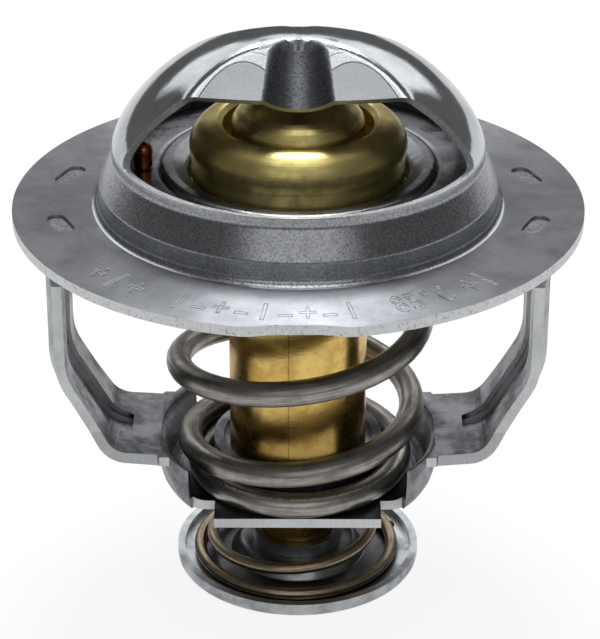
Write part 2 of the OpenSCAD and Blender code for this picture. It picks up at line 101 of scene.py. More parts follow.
class Graph:
    """A node tree under construction, with the shorthand that finishes, floor and world share."""

    def __init__(self, tree: bpy.types.NodeTree) -> None:
        """Takes the tree that the nodes go into."""
        self.tree = tree

    def feed(self, socket: Socket, value: Any) -> None:
        """Links an output to a socket, or sets the socket's value."""
        if isinstance(value, Socket):
            self.tree.links.new(value, socket)
        else:
            socket.default_value = value

    def add(self, kind: str, inputs: dict[Any, Any] | None = None, **settings: Any) -> bpy.types.Node:
        """Adds one node with its settings and links.

        Args:
            kind: the node's type name.
            inputs: socket name or number to a value, or to another node's output socket.
            settings: attributes of the node itself.

        Returns:
            The new node.
        """
        node = self.tree.nodes.new(kind)
        for name, value in settings.items():
            setattr(node, name, value)
        for key, value in (inputs or {}).items():
            self.feed(node.inputs[key], value)
        return node

    def math(self, operation: str, *values: Any) -> Socket:
        """A Math node on sockets or numbers."""
        return self.add("ShaderNodeMath", dict(enumerate(values)), operation=operation).outputs[0]

    def product(self, *values: Any) -> Socket:
        """Multiplies several values."""
        made = values[0]
        for value in values[1:]:
            made = self.math("MULTIPLY", made, value)
        return made

    def scaled(self, value: Any, factor: Any, start: Any) -> Socket:
        """A value times a factor, added to a start."""
        return self.math("MULTIPLY_ADD", value, factor, start)

    def size_of(self, value: Socket) -> Socket:
        """A value without its sign."""
        return self.math("ABSOLUTE", value)

    def ramp(self, value: Socket, low: float, high: float, to_low: float = 0.0,
             to_high: float = 1.0) -> Socket:
        """Smoothly maps a range of one value to another range, clamped."""
        inputs = {"Value": value, "From Min": low, "From Max": high, "To Min": to_low, "To Max": to_high}
        return self.add("ShaderNodeMapRange", inputs, interpolation_type="SMOOTHSTEP").outputs["Result"]

    def fall(self, value: Socket, low: float, high: float) -> Socket:
        """1 up to low, falling smoothly to 0 at high."""
        return self.ramp(value, low, high, 1.0, 0.0)

    def mix(self, factor: Any, first: Any, second: Any) -> Socket:
        """Mixes two colours."""
        return self.add("ShaderNodeMix", {0: factor, 6: first, 7: second}, data_type="RGBA").outputs[2]

    def blend(self, factor: Any, first: Any, second: Any) -> Socket:
        """Mixes two numbers."""
        return self.add("ShaderNodeMix", {0: factor, 2: first, 3: second}).outputs[0]

    def split(self, vector: Socket) -> bpy.types.bpy_prop_collection:
        """The X, Y and Z sockets of a vector."""
        return self.add("ShaderNodeSeparateXYZ", {0: vector}).outputs


class Recipe(Graph):
    """A material under construction."""

    def __init__(self, name: str) -> None:
        """Starts a node material with one Principled shader."""
        self.material = bpy.data.materials.new(name)
        self.material.use_nodes = True
        super().__init__(self.material.node_tree)
        self.shader = next(n for n in self.tree.nodes if n.type == "BSDF_PRINCIPLED")

    def place(self) -> Socket:
        """Object coordinates in millimetres."""
        inputs = {0: self.add("ShaderNodeTexCoord").outputs["Object"], "Scale": 1 / MM}
        return self.add("ShaderNodeVectorMath", inputs, operation="SCALE").outputs[0]

    def noise(self, vector: Socket, size: float, detail: float, rough: float) -> Socket:
        """Noise whose blotches are about size millimetres across."""
        inputs = {"Vector": vector, "Scale": 1 / size, "Detail": detail, "Roughness": rough}
        return self.add("ShaderNodeTexNoise", inputs).outputs["Fac"]

    def stretch(self, vector: Socket, x: float, y: float, z: float) -> Socket:
        """The same place with its axes stretched, so that noise on it turns to streaks."""
        return self.add("ShaderNodeMapping", {"Vector": vector, "Scale": (x, y, z)}).outputs["Vector"]

    def pair(self, factor: Any, shades: tuple[str, str]) -> Socket:
        """Mixes two sRGB hex colours."""
        return self.mix(factor, linear(shades[0]), linear(shades[1]))

    def over(self, colour: Socket, mask: Socket, share: float, shade: str) -> Socket:
        """Lays an sRGB hex colour over another colour, at that share where the mask is 1."""
        return self.mix(self.product(mask, share), colour, linear(shade))

    def radius(self, vector: Socket) -> Socket:
        """Distance from the valve's axis, in millimetres."""
        axes = self.split(vector)
        squares = [self.product(axes[k], axes[k]) for k in (0, 1)]
        return self.math("SQRT", self.math("ADD", *squares))

    def normal(self) -> bpy.types.bpy_prop_collection:
        """The X, Y and Z sockets of the surface's normal."""
        return self.split(self.add("ShaderNodeNewGeometry").outputs["Normal"])

    def near(self, value: Socket, centre: float, width: float) -> Socket:
        """1 where a value lies within width of centre, falling to 0 softly outside it."""
        return self.fall(self.size_of(self.math("SUBTRACT", value, centre)), width, width * 1.6)

    def bump(self, height: Socket, depth: float, before: Socket | None = None) -> Socket:
        """Adds bumps depth millimetres high and returns the normal socket."""
        inputs = {"Height": height, "Strength": 1.0, "Distance": depth * MM}
        if before is not None:
            inputs["Normal"] = before
        return self.add("ShaderNodeBump", inputs).outputs["Normal"]

    def set(self, **values: Any) -> Material:
        """Sets or links the shader's sockets, with spaces in their names written as underscores.

        Returns:
            The material.
        """
        for name, value in values.items():
            self.feed(self.shader.inputs[name.replace("_", " ")], value)
        return self.material

    def metal(self, colour: Socket, rough: Socket, normal: Socket, **more: Any) -> Material:
        """Makes the shader a metal and returns the material."""
        return self.set(Base_Color=colour, Metallic=1.0, Roughness=rough, Normal=normal, **more)


@dataclass(frozen=True)
class DrawnSteel:
    """Deep-drawn plated steel sheet: ironed bright on the dome, grainy in its grooves, which carry painted
    shade.

    The eye sees a wall speckled by the die, a mirror-like dome, and grainy flattened faces with
    pressing marks beside the groove. A pair of numbers is where a zone's soft edge starts and ends.
    """

    name: str = "plated_drawn_steel"
    dome: tuple[str, str] = ("#D4D7DA", "#B4B8BC")
    wall: tuple[str, str] = ("#B2B4B8", "#7A7C81")
    face: tuple[str, str] = ("#BDBFC2", "#A0A2A6")
    # Grooves: grainy, and painted darker than the sheet's own colour, as painted shade in the recess.
    groove: tuple[str, str] = ("#77797D", "#4C4E52")
    # Painted shade: faces that turn downwards, inside the dome and under the strap, are painted darker.
    under: tuple[str, str] = ("#74767A", "#505256")
    coined: str = "#86888C"
    pressed: str = "#5E6064"
    peel_mm: float = 0.34
    grit_mm: float = 0.26
    crown_half: float = 2.4
    slope: float = 40.4
    wall_top: tuple[float, float] = (8.3, 9.2)
    strap_foot: tuple[float, float] = (12.6, 13.2)
    crown_edge: tuple[float, float] = (2.0, 2.4)
    groove_middle: tuple[float, float] = (2.2, 2.6)
    groove_side: tuple[float, float] = (4.2, 4.6)
    groove_mouth: tuple[float, float] = (1.6, 2.2)

    def zones(self, m: Recipe, place: Socket) -> dict[str, Socket]:
        """Masks of the wall, the strap's sloping faces, its grooves and its underside."""
        axes, normal = m.split(place), m.normal()
        aside, away = m.size_of(axes[0]), m.size_of(axes[1])
        high = m.ramp(axes[2], *self.strap_foot)
        face = m.product(
            m.ramp(m.size_of(normal[1]), 0.55, 0.61), m.fall(m.size_of(normal[0]), 0.05, 0.10),
            m.ramp(normal[2], 0.6, 0.7), m.ramp(away, *self.crown_edge),
            m.ramp(aside, *self.groove_middle), high)
        groove = m.product(
            m.fall(aside, *self.groove_side), m.ramp(away, *self.groove_mouth),
            m.ramp(normal[2], 0.1, 0.3), high, m.math("SUBTRACT", 1.0, face))
        wall = m.product(m.fall(axes[2], *self.wall_top), m.fall(m.size_of(normal[2]), 0.86, 0.96))
        # Painted shade mask: faces that turn downwards.
        under = m.fall(normal[2], -0.25, -0.05)
        return {"wall": wall, "face": face, "groove": groove, "under": under}

    def pads(self, m: Recipe, place: Socket) -> tuple[Socket, Socket]:
        """The coined lens beside each groove and the two pressing lines above it."""
        axes = m.split(place)
        down = m.product(m.math("SUBTRACT", m.size_of(axes[1]), self.crown_half),
                         1 / math.cos(math.radians(self.slope)))
        across = m.size_of(axes[0])

        def below(middle: float, top: float, width: float, drop: float) -> Socket:
            """Distance below an arc that peaks at top and falls by drop at width from its middle."""
            off = m.product(m.math("SUBTRACT", across, middle), 1 / width)
            return m.math("SUBTRACT", down, m.scaled(m.product(off, off), drop, top))

        lens = below(middle=6.2, top=3.0, width=4.6, drop=3.8)
        upper = below(middle=5.4, top=1.7, width=2.4, drop=0.9)
        upper_line = m.product(m.near(upper, 0.0, 0.07), m.fall(across, 6.8, 7.6))
        lines = m.math("MAXIMUM", m.near(lens, -0.05, 0.08), upper_line)
        return m.ramp(lens, -0.12, 0.12), lines

    def material(self) -> Material:
        """Builds the material."""
        m = Recipe(self.name)
        place = m.place()
        zone = self.zones(m, place)
        lens, lines = self.pads(m, place)
        cloud = m.ramp(m.noise(place, 7.0, 5.0, 0.65), 0.35, 0.68)
        speckle = m.noise(place, self.peel_mm, 3.0, 0.75)
        grit = m.ramp(m.noise(place, self.grit_mm, 4.0, 0.8), 0.38, 0.68)
        around = m.noise(m.stretch(place, 1.0, 1.0, 0.15), 0.5, 2.0, 0.5)
        colour = m.pair(cloud, self.dome)
        rough = m.scaled(m.math("SUBTRACT", speckle, 0.5), 0.10, 0.10)
        # The groove's and the underside's darker shades are painted shade; the wall's and the faces' shades
        # are the sheet's own.
        plan = (("wall", self.wall, grit, 0.24), ("face", self.face, grit, 0.42),
                ("groove", self.groove, grit, 0.36), ("under", self.under, cloud, 0.36))
        for key, shades, by, satin in plan:
            colour = m.mix(zone[key], colour, m.pair(by, shades))
            rough = m.blend(zone[key], rough, satin)
        pad, line = m.product(lens, zone["face"]), m.product(lines, zone["face"])
        colour = m.over(m.over(colour, pad, 0.80, self.coined), line, 0.55, self.pressed)
        grain = m.scaled(m.math("MAXIMUM", zone["face"], zone["groove"]), 2.2,
                         m.scaled(zone["wall"], 0.9, 0.35))
        height = m.math("ADD", m.product(speckle, grain), m.product(around, 0.4))
        dents = m.bump(m.noise(place, 6.0, 2.0, 0.5), 0.10)
        coined = m.bump(m.math("SUBTRACT", m.product(pad, -0.6), line), 0.10, dents)
        return m.metal(colour, rough, m.bump(height, 0.010, coined))


@dataclass(frozen=True)
class BrushedRing:
    """The clamping ring of the same sheet, rubbed round and round, so that light fans out from the axis.

    Real scratches are finer than the render shows, so they are drawn 0.25 mm apart.
    """

    name: str = "circularly_brushed_steel"
    shades: tuple[str, str] = ("#929498", "#6C6E73")
    spot: str = "#5A5C60"
    scratch_mm: float = 0.25
    grit_mm: float = 0.35
    satin: float = 0.40
    anisotropy: float = 0.85

    def material(self) -> Material:
        """Builds the material."""
        m = Recipe(self.name)
        place = m.place()
        outward = m.add("ShaderNodeCombineXYZ", {0: m.radius(place)}).outputs[0]
        cloud = m.ramp(m.noise(place, 6.0, 5.0, 0.7), 0.35, 0.68)
        scratches = m.noise(outward, self.scratch_mm, 3.0, 0.7)
        grit = m.noise(place, self.grit_mm, 3.0, 0.75)
        spots = m.ramp(m.noise(place, 0.7, 4.0, 0.8), 0.62, 0.70)
        shade = m.scaled(cloud, 0.5, m.scaled(grit, 0.5, m.product(scratches, 0.2)))
        colour = m.over(m.pair(shade, self.shades), spots, 0.35, self.spot)
        rough = m.scaled(m.math("SUBTRACT", grit, 0.5), 0.16, self.satin)
        dents = m.bump(m.noise(place, 9.0, 2.0, 0.5), 0.12)
        normal = m.bump(m.scaled(scratches, 0.6, grit), 0.008, dents)
        across = m.add("ShaderNodeVectorMath", {0: place}, operation="NORMALIZE").outputs[0]
        return m.metal(colour, rough, normal, Anisotropic=self.anisotropy, Tangent=across)


@dataclass(frozen=True)
class ShearedEdge:
    """Sheet steel where the die cut it: pale, streaked through its thickness and a little torn."""

    name: str = "sheared_steel_edge"
    shades: tuple[str, str] = ("#C4C7C9", "#F0F1F1")
    tear: str = "#6B6E71"
    satin: float = 0.36

    def material(self) -> Material:
        """Builds the material."""
        m = Recipe(self.name)
        place = m.place()
        streaks = m.noise(m.stretch(place, 3.0, 3.0, 0.5), 0.5, 3.0, 0.7)
        torn = m.ramp(m.noise(place, 0.35, 3.0, 0.8), 0.55, 0.7)
        colour = m.over(m.pair(streaks, self.shades), torn, 0.5, self.tear)
        rough = m.scaled(torn, 0.15, self.satin)
        return m.metal(colour, rough, m.bump(m.math("SUBTRACT", streaks, torn), 0.03))


@dataclass(frozen=True)
class FrameSteel:
    """Folded steel strip: dull grey faces with die scuffs, bright sheared edges, and painted shade on the
    tab ends in their slots.
    """

    name: str = "folded_steel_strip"
    face: tuple[str, str] = ("#8A8C90", "#616368")
    scuff: str = "#BFC2C4"
    sheared: str = "#EEF0F1"
    # Painted shade: the clinched tab ends in the flange's slots are painted dark, standing for the shaded
    # gap around them.
    tab_shade: str = "#4C4E52"
    satin: float = 0.34
    grain_mm: float = 0.4
    collar_r: float = 11.2
    tab_z: tuple[float, float] = (0.1, 0.5)

    def material(self) -> Material:
        """Builds the material."""
        m = Recipe(self.name)
        place = m.place()
        cloud = m.ramp(m.noise(place, 5.0, 5.0, 0.7), 0.36, 0.66)
        lines = m.noise(m.stretch(place, 0.35, 4.0, 0.35), 0.6, 3.0, 0.6)
        scuffs = m.ramp(m.noise(m.stretch(place, 0.5, 2.5, 0.5), 0.8, 4.0, 0.8), 0.56, 0.72)
        streaks = m.noise(m.stretch(place, 3.0, 1.0, 0.6), 0.6, 3.0, 0.75)
        cut = m.product(m.ramp(m.size_of(m.normal()[1]), 0.8, 0.95),
                        m.ramp(m.radius(place), self.collar_r, self.collar_r + 0.3))
        # Painted shade on the tab ends that sit in the flange's slots.
        tab_shade = m.product(m.ramp(m.split(place)[2], *self.tab_z),
                          m.ramp(m.noise(place, 0.5, 3.0, 0.8), 0.35, 0.65))
        colour = m.over(m.pair(cloud, self.face), scuffs, 0.55, self.scuff)
        colour = m.mix(cut, colour, m.pair(streaks, (self.scuff, self.sheared)))
        colour = m.over(colour, tab_shade, 0.8, self.tab_shade)
        rough = m.ramp(cloud, 0.0, 1.0, self.satin - 0.06, self.satin + 0.10)
        rough = m.scaled(cut, 0.12, rough)
        height = m.math("ADD", m.noise(place, self.grain_mm, 3.0, 0.7), lines)
        height = m.scaled(m.product(cut, streaks), 3.0, height)
        return m.metal(colour, rough, m.bump(height, 0.010))


@dataclass(frozen=True)
class TurnedBrass:
    """Drawn and turned brass: yellow, with fine tool rings and a brown tarnish in patches."""

    name: str = "turned_brass"
    bulb: tuple[str, str] = ("#DCCB86", "#B5A468")
    tube: tuple[str, str] = ("#F0CF7C", "#C79E4C")
    foot: str = "#7E5B2A"
    stain: str = "#6E5C33"
    smooth: float = 0.30
    ring_mm: float = 0.16
    crease_z: float = 8.0
    tube_z: tuple[float, float] = (-2.0, 1.0)
    foot_z: tuple[float, float] = (-29.0, -19.0)
    seam_x: float = -1.1
    seam_y: tuple[float, float] = (-7.0, -6.0)

    def material(self) -> Material:
        """Builds the material."""
        m = Recipe(self.name)
        place = m.place()
        axes = m.split(place)
        cloud = m.ramp(m.noise(place, 5.5, 5.0, 0.65), 0.38, 0.68)
        rings = m.noise(m.stretch(place, 0.12, 0.12, 1.0), self.ring_mm, 2.0, 0.6)
        drips = m.ramp(m.noise(m.stretch(place, 1.0, 1.0, 0.4), 1.3, 5.0, 0.8), 0.60, 0.74)
        crease = m.product(m.near(axes[2], self.crease_z, 0.9),
                           m.ramp(m.noise(place, 1.1, 4.0, 0.7), 0.42, 0.62))
        tube = m.fall(axes[2], *self.tube_z)
        seam = m.product(m.near(axes[0], self.seam_x, 0.07), m.fall(axes[1], *self.seam_y), tube)
        fresh, old = [m.pair(tube, shades) for shades in zip(self.bulb, self.tube)]
        colour = m.mix(m.product(cloud, 0.75), fresh, old)
        colour = m.over(colour, m.fall(axes[2], *self.foot_z), 0.55, self.foot)
        colour = m.over(colour, seam, 0.5, self.stain)
        colour = m.over(colour, m.math("MAXIMUM", drips, m.product(crease, 0.5)), 0.5, self.stain)
        rough = m.ramp(cloud, 0.0, 1.0, self.smooth, self.smooth + 0.14)
        rough = m.scaled(drips, 0.15, m.scaled(tube, -0.10, rough))
        height = m.scaled(rings, 0.8, m.noise(place, 0.4, 3.0, 0.6))
        return m.metal(colour, rough, m.bump(height, 0.008))


@dataclass(frozen=True)
class SpringWire:
    """Drawn spring wire: brownish grey, with faint lines that run along the wire.

    A rubbed bright line marks the foot where the next turn has worn on it, up to worn_to
    millimetres along.
    """

    name: str
    shades: tuple[str, str]
    smooth: float = 0.30
    line_share: float = 0.5
    worn_to: float = 0.0
    worn: str = "#F2EFE8"
    worn_side: float = -1.27

    def material(self) -> Material:
        """Builds the material, which reads the place along and round the wire from an attribute."""
        m = Recipe(self.name)
        wire = m.add("ShaderNodeAttribute", attribute_name=WoundSpring.ATTRIBUTE).outputs["Vector"]
        place = m.place()
        lines = m.noise(m.stretch(wire, 1.0, 1.0, 0.05), 0.30, 3.0, 0.7)
        cloud = m.ramp(m.noise(place, 2.6, 4.0, 0.6), 0.4, 0.65)
        shade = m.scaled(cloud, 0.4, m.product(m.ramp(lines, 0.38, 0.62), self.line_share))
        colour = m.pair(shade, self.shades)
        if self.worn_to:
            turned = m.split(wire)
            rubbed = m.product(m.near(turned[1], self.worn_side, 0.05), m.ramp(turned[0], 0.3, 0.5),
                               m.fall(turned[2], self.worn_to - 6.0, self.worn_to),
                               m.ramp(m.noise(place, 0.6, 3.0, 0.8), 0.42, 0.5))
            colour = m.over(colour, rubbed, 0.85, self.worn)
        rough = m.ramp(lines, 0.3, 0.7, self.smooth - 0.05, self.smooth + 0.12)
        height = m.scaled(m.noise(place, 0.25, 3.0, 0.7), 0.6, lines)
        return m.metal(colour, rough, m.bump(height, 0.012))


@dataclass(frozen=True)
class PlainMetal:
    """A small turned or pressed part in one metal, slightly clouded.

    Inside a dish, out to a given radius, its upper face is painted darker: painted shade in the dish's
    hollow.
    """

    name: str
    shades: tuple[str, str]
    smooth: float = 0.22
    spread: float = 0.14
    grain_mm: float = 0.4
    ring_share: float = 0.5
    dish_shade: str = ""
    dish_shade_r: float = 12.9

    def material(self) -> Material:
        """Builds the material."""
        m = Recipe(self.name)
        place = m.place()
        radius = m.radius(place)
        cloud = m.ramp(m.noise(place, 3.5, 5.0, 0.65), 0.36, 0.66)
        colour = m.pair(m.product(cloud, 0.8), self.shades)
        # Painted shade: the upper face inside the dish is darkened where the hollow lies in shade.
        if self.dish_shade:
            inside = m.product(m.fall(radius, self.dish_shade_r - 0.5, self.dish_shade_r),
                               m.ramp(m.normal()[2], 0.3, 0.7))
            colour = m.over(colour, inside, 0.9, self.dish_shade)
        rough = m.ramp(cloud, 0.0, 1.0, self.smooth, self.smooth + self.spread)
        height = m.scaled(m.noise(radius, 0.5, 3.0, 0.6), self.ring_share,
                          m.noise(place, self.grain_mm, 3.0, 0.7))
        return m.metal(colour, rough, m.bump(height, 0.008))


@dataclass(frozen=True)
class SoftMatter:
    """Rubber, hard plastic or filled wax: no metal, with a fine grain."""

    name: str
    shades: tuple[str, str]
    roughness: float
    grain_mm: float = 0.3

    def material(self) -> Material:
        """Builds the material."""
        m = Recipe(self.name)
        place = m.place()
        cloud = m.ramp(m.noise(place, 1.8, 4.0, 0.6), 0.35, 0.65)
        return m.set(Base_Color=m.pair(cloud, self.shades), Roughness=self.roughness,
                     Normal=m.bump(m.noise(place, self.grain_mm, 3.0, 0.6), 0.01))


@dataclass
class WoundSpring:
    """A coil of round wire, swept ring by ring."""

    ATTRIBUTE = "wire_place"
    # Each ring of the rounded tip: how far out it lies and how wide it is, as shares of the wire
    TIP = ((0.12, 0.72), (0.06, 0.90), (0.018, 0.98))

    name: str
    node: str
    slot: str
    body: Body
    joint: Joint
    wire_d: float
    turns: float
    closed: float
    radius_at: Callable[[float], float]
    height_at: Callable[[float], float]
    anchor_z: float
    keep: float
    sides: int = 20
    steps: int = 48

    def centre(self, n: float) -> Vector:
        """The wire's middle, n turns from the first free turn's start at the front."""
        angle = math.radians(270) + 2 * math.pi * n
        r = self.radius_at(n)
        return Vector((r * math.cos(angle), r * math.sin(angle), self.height_at(n)))

    def frame_at(self, n: float, scale: float) -> Matrix:
        """Places a ring drawn in XY square to the wire at n turns."""
        step = 0.25 / self.steps
        along = (self.centre(n + step) - self.centre(n - step)).normalized()
        out = Vector((self.centre(n).x, self.centre(n).y, 0)).normalized()
        out = (out - along * out.dot(along)).normalized()
        up = along.cross(out)
        turned = Matrix((out, up, along)).transposed().to_4x4()
        return Matrix.Translation(self.centre(n)) @ turned @ Matrix.Scale(scale, 4)

    def build(self) -> bpy.types.Object:
        """Sweeps the wire, with rounded ends, and returns the coil in metres."""
        mesh = bmesh.new()
        mark = mesh.verts.layers.float_vector.new(self.ATTRIBUTE)
        total = round(self.turns * self.steps)
        rings = [(-self.closed, scale, -out * self.wire_d) for out, scale in self.TIP]
        rings += [(i / self.steps - self.closed, 1.0, 0.0) for i in range(total + 1)]
        rings += [(self.turns - self.closed, scale, out * self.wire_d)
                  for out, scale in reversed(self.TIP)]
        made = bmesh.ops.create_circle(mesh, cap_ends=True, segments=self.sides, radius=self.wire_d / 2)
        ring = list(made["verts"])
        flat = [v.co.copy() for v in ring]
        for index, (n, scale, slide) in enumerate(rings):
            if index:
                edges = [e for e in mesh.edges if e.select]
                grown = bmesh.ops.extrude_edge_only(mesh, edges=edges)["geom"]
                for e in edges:
                    e.select = False
                ring = self.matched(ring, grown)
            place = self.frame_at(n, scale) @ Matrix.Translation((0, 0, slide / scale))
            for v, co in zip(ring, flat):
                v.co = place @ co
                angle = math.atan2(co.y, co.x)
                v[mark] = (math.cos(angle) * self.wire_d / 2, math.sin(angle) * self.wire_d / 2,
                           2 * math.pi * self.radius_at(n) * n)
            if not index:
                chosen = set(ring)
                for e in mesh.edges:
                    e.select = e.verts[0] in chosen and e.verts[1] in chosen
        bmesh.ops.contextual_create(mesh, geom=[e for e in mesh.edges if e.is_boundary])
        bmesh.ops.recalc_face_normals(mesh, faces=mesh.faces)
        bmesh.ops.scale(mesh, vec=(MM, MM, MM), verts=mesh.verts)
        return make_object(self.name, mesh)

    @staticmethod
    def matched(ring: list[bmesh.types.BMVert], grown: list[Any]) -> list[bmesh.types.BMVert]:
        """Finds the new vertex over each old one and selects the new ring's edges."""
        fresh = {g for g in grown if isinstance(g, bmesh.types.BMVert)}
        for g in grown:
            if isinstance(g, bmesh.types.BMEdge):
                g.select = g.verts[0] in fresh and g.verts[1] in fresh
        return [next(e.other_vert(v) for e in v.link_edges if e.other_vert(v) in fresh) for v in ring]

    def fit(self, material: Material) -> bpy.types.Object:
        """Builds the coil, dresses it and ties it to its body."""
        coil = self.build()
        coil.data.materials.append(material)
        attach(coil, self.body.value)
        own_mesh(coil)
        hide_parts(self.node)
        return coil


def make_object(name: str, mesh: bmesh.types.BMesh, smooth_angle: float = 40.0) -> bpy.types.Object:
    """Turns a bmesh to an object at the origin, shaded smooth except at sharp edges.

    Args:
        name: the object's name.
        mesh: the bmesh, in metres, which is freed here.
        smooth_angle: edges that turn more than this many degrees stay sharp.

    Returns:
        The linked object.
    """
    data = bpy.data.meshes.new(name)
    mesh.to_mesh(data)
    mesh.free()
    data.polygons.foreach_set("use_smooth", [True] * len(data.polygons))
    data.set_sharp_from_angle(angle=math.radians(smooth_angle))
    made = bpy.data.objects.new(name, data)
    bpy.context.scene.collection.objects.link(made)
    return made


def unit(value: float) -> float:
    """Keeps a value between 0 and 1.

    Args:
        value: any number.

    Returns:
        The nearest number from 0 to 1.
    """
    return min(1.0, max(0.0, value))


def smaller(first: float, second: float, blend: float) -> float:
    """The smaller of two heights, rounded where they cross.

    Args:
        first: one height.
        second: the other height.
        blend: how near the two lie, in the same unit, where the rounding starts.

    Returns:
        The rounded smaller height.
    """
    share = max(blend - abs(first - second), 0.0) / blend
    return min(first, second) - share * share * blend / 4


def arc(centre: tuple[float, float], radius: float, start: float, end: float,
        steps: int) -> list[tuple[float, float]]:
    """Points on an arc, with both ends.

    Args:
        centre: the arc's centre.
        radius: its radius.
        start: first angle in degrees.
        end: last angle in degrees.
        steps: number of parts.

    Returns:
        The points.
    """
    angles = [math.radians(start + (end - start) * i / steps) for i in range(steps + 1)]
    return [(centre[0] + radius * math.cos(t), centre[1] + radius * math.sin(t)) for t in angles]


@dataclass
class DrawnBridge:
    """Flange, drawn wall and flattened strap as one pressed sheet, finer and softer than its solid."""

    flange_r: float = 33.5
    flange_t: float = 1.2
    flange_rings: tuple[float, ...] = (33.3, 32.5, 30.5, 28.5, 26.5, 25.2)
    sheet: float = 0.9
    lower_r: float = 23.4
    upper_r: float = 21.7
    fillet: float = 1.0
    cone_top: float = 3.8
    cone_angle: float = 26.6
    shoulder_r: float = 1.2
    shoulder_drop: float = 0.7
    dome_base: float = 8.4
    dome_rise: float = 13.8
    dome_power: float = 0.684
    crown_half: float = 2.4
    edge_y: float = 8.0
    edge_z: float = 17.3
    bow: float = 0.55
    bow_half: float = 12.0
    strap_from: float = 12.5
    strap_fade: float = 3.0
    lean_from: float = 1.2
    lean_fade: float = 2.0
    window_z: float = 8.6
    clear_z: float = 30.0
    corner: float = 1.4
    groove_r: float = 4.5
    mouth: float = 0.25
    groove_at: tuple[float, float] = (1.2, 7.35)
    groove_depth: tuple[float, float] = (1.0, 1.9)
    ridge: float = 0.5
    crease: float = 0.65
    notch_w: float = 11.2
    notch_depth: float = 1.0
    notch_from: float = 31.5
    tab_at: tuple[float, float] = (27.35, 7.0)
    tab_size: tuple[float, float] = (5.2, 2.3)
    tab_turn: float = 65.0
    steps: int = 240
    dome_steps: int = 64

    def profile(self) -> list[tuple[float, float]]:
        """Radius and height of the outside, from the rim to the pole."""
        points = [(r, self.flange_t) for r in (self.flange_r, *self.flange_rings)]
        points += arc((self.lower_r + self.fillet, self.flange_t + self.fillet), self.fillet, 270, 180, 6)
        points += arc((self.lower_r - self.sheet, self.cone_top), self.sheet, 0, self.cone_angle, 4)
        middle = (self.upper_r + self.shoulder_r, self.dome_base - self.shoulder_drop)
        points += arc(middle, self.shoulder_r, 180 + self.cone_angle, 180, 4)
        points += [(self.upper_r, self.dome_base - self.shoulder_drop / 2)]
        for i in range(self.dome_steps + 1):
            r = self.upper_r * math.cos(math.pi / 2 * i / self.dome_steps)
            points.append((r, self.dome_z(r)))
        return points

    def dome_z(self, r: float) -> float:
        """Height of the dome at a radius."""
        return self.dome_base + self.dome_rise * max(0.0, 1 - (r / self.upper_r) ** 2) ** self.dome_power

    def strap_z(self, x: float, y: float) -> float:
        """Height of the strap's outside before its grooves: the dome and its two sloping faces."""
        top = self.dome_z(self.crown_half)
        fall = (top - self.edge_z) / (self.edge_y - self.crown_half)
        return smaller(self.dome_z(math.hypot(x, y)), top - (abs(y) - self.crown_half) * fall, self.crease)

    def groove(self, x: float, y: float) -> float:
        """Depth of the groove square to the strap's face, rounded along its two ridges."""
        if abs(x) >= self.groove_r:
            return 0.0
        down = (abs(y) - self.crown_half) * math.hypot(self.edge_y - self.crown_half,
                                                       self.dome_z(self.crown_half) - self.edge_z)
        down /= self.edge_y - self.crown_half
        if down < self.groove_at[0]:
            share = unit((down + self.mouth) / (self.groove_at[0] + self.mouth))
            deep = self.groove_depth[0] * share * share * (3 - 2 * share)
        else:
            share = (down - self.groove_at[0]) / (self.groove_at[1] - self.groove_at[0])
            deep = self.groove_depth[0] + (self.groove_depth[1] - self.groove_depth[0]) * share
        across = self.groove_r - math.sqrt(self.groove_r ** 2 - x * x)
        return -smaller(0.0, across - deep, self.ridge)

    def build(self) -> bpy.types.Object:
        """Spins, notches, pierces, presses and thickens the sheet."""
        mesh = bmesh.new()
        last = None
        for r, z in self.profile():
            vert = mesh.verts.new((r, 0, z))
            if last is not None:
                mesh.edges.new((last, vert))
            last = vert
        bmesh.ops.spin(mesh, geom=list(mesh.verts) + list(mesh.edges), cent=(0, 0, 0), axis=(0, 0, 1),
                       angle=2 * math.pi, steps=self.steps, use_merge=True)
        bmesh.ops.remove_doubles(mesh, verts=mesh.verts, dist=1e-4)
        bmesh.ops.recalc_face_normals(mesh, faces=mesh.faces)
        self.notch(mesh)
        for sign in (-1, 1):
            self.pierce(mesh, [(sign * y, z) for y, z in self.window()], (1, 2),
                        lambda c, side=sign: c.z > self.window_z - 2.5 and c.y * side > 4)
        for sx in (-1, 1):
            for sy in (-1, 1):
                self.pierce(mesh, self.slot_outline(sx, sy), (0, 1),
                            lambda c, x=sx, y=sy: c.z < 1.3 and c.x * x > 18 and 0 < c.y * y < 14)
        self.press(mesh)
        self.thicken(mesh)
        bmesh.ops.scale(mesh, vec=(MM, MM, MM), verts=mesh.verts)
        return make_object("drawn_bridge_and_flange", mesh, 32.0)

    def notch(self, mesh: bmesh.types.BMesh) -> None:
        """Draws the rim in at the front to make the shallow locating notch."""
        half = self.notch_w / 2
        full = math.sqrt(self.flange_r ** 2 - half ** 2)
        for v in mesh.verts:
            r = math.hypot(v.co.x, v.co.y)
            if v.co.z > self.flange_t + 0.01 or r < self.notch_from or v.co.y > 0 or abs(v.co.x) > half:
                continue
            share = min(1.0, (half - abs(v.co.x)) / (half / 2))
            line = full - (full - self.flange_r + self.notch_depth) * share
            limit = min(line / (abs(v.co.y) / r), self.flange_r)
            reach = (r - self.notch_from) / (self.flange_r - self.notch_from)
            factor = 1 + (limit / self.flange_r - 1) * reach
            v.co.x *= factor
            v.co.y *= factor

    def window(self) -> list[tuple[float, float]]:
        """Outline of one window in Y and Z, anticlockwise."""
        return ([(self.flange_r, self.window_z), (self.flange_r, self.clear_z), (self.edge_y, self.clear_z)]
                + arc((self.edge_y + self.corner, self.window_z + self.corner), self.corner, 180, 270, 6))

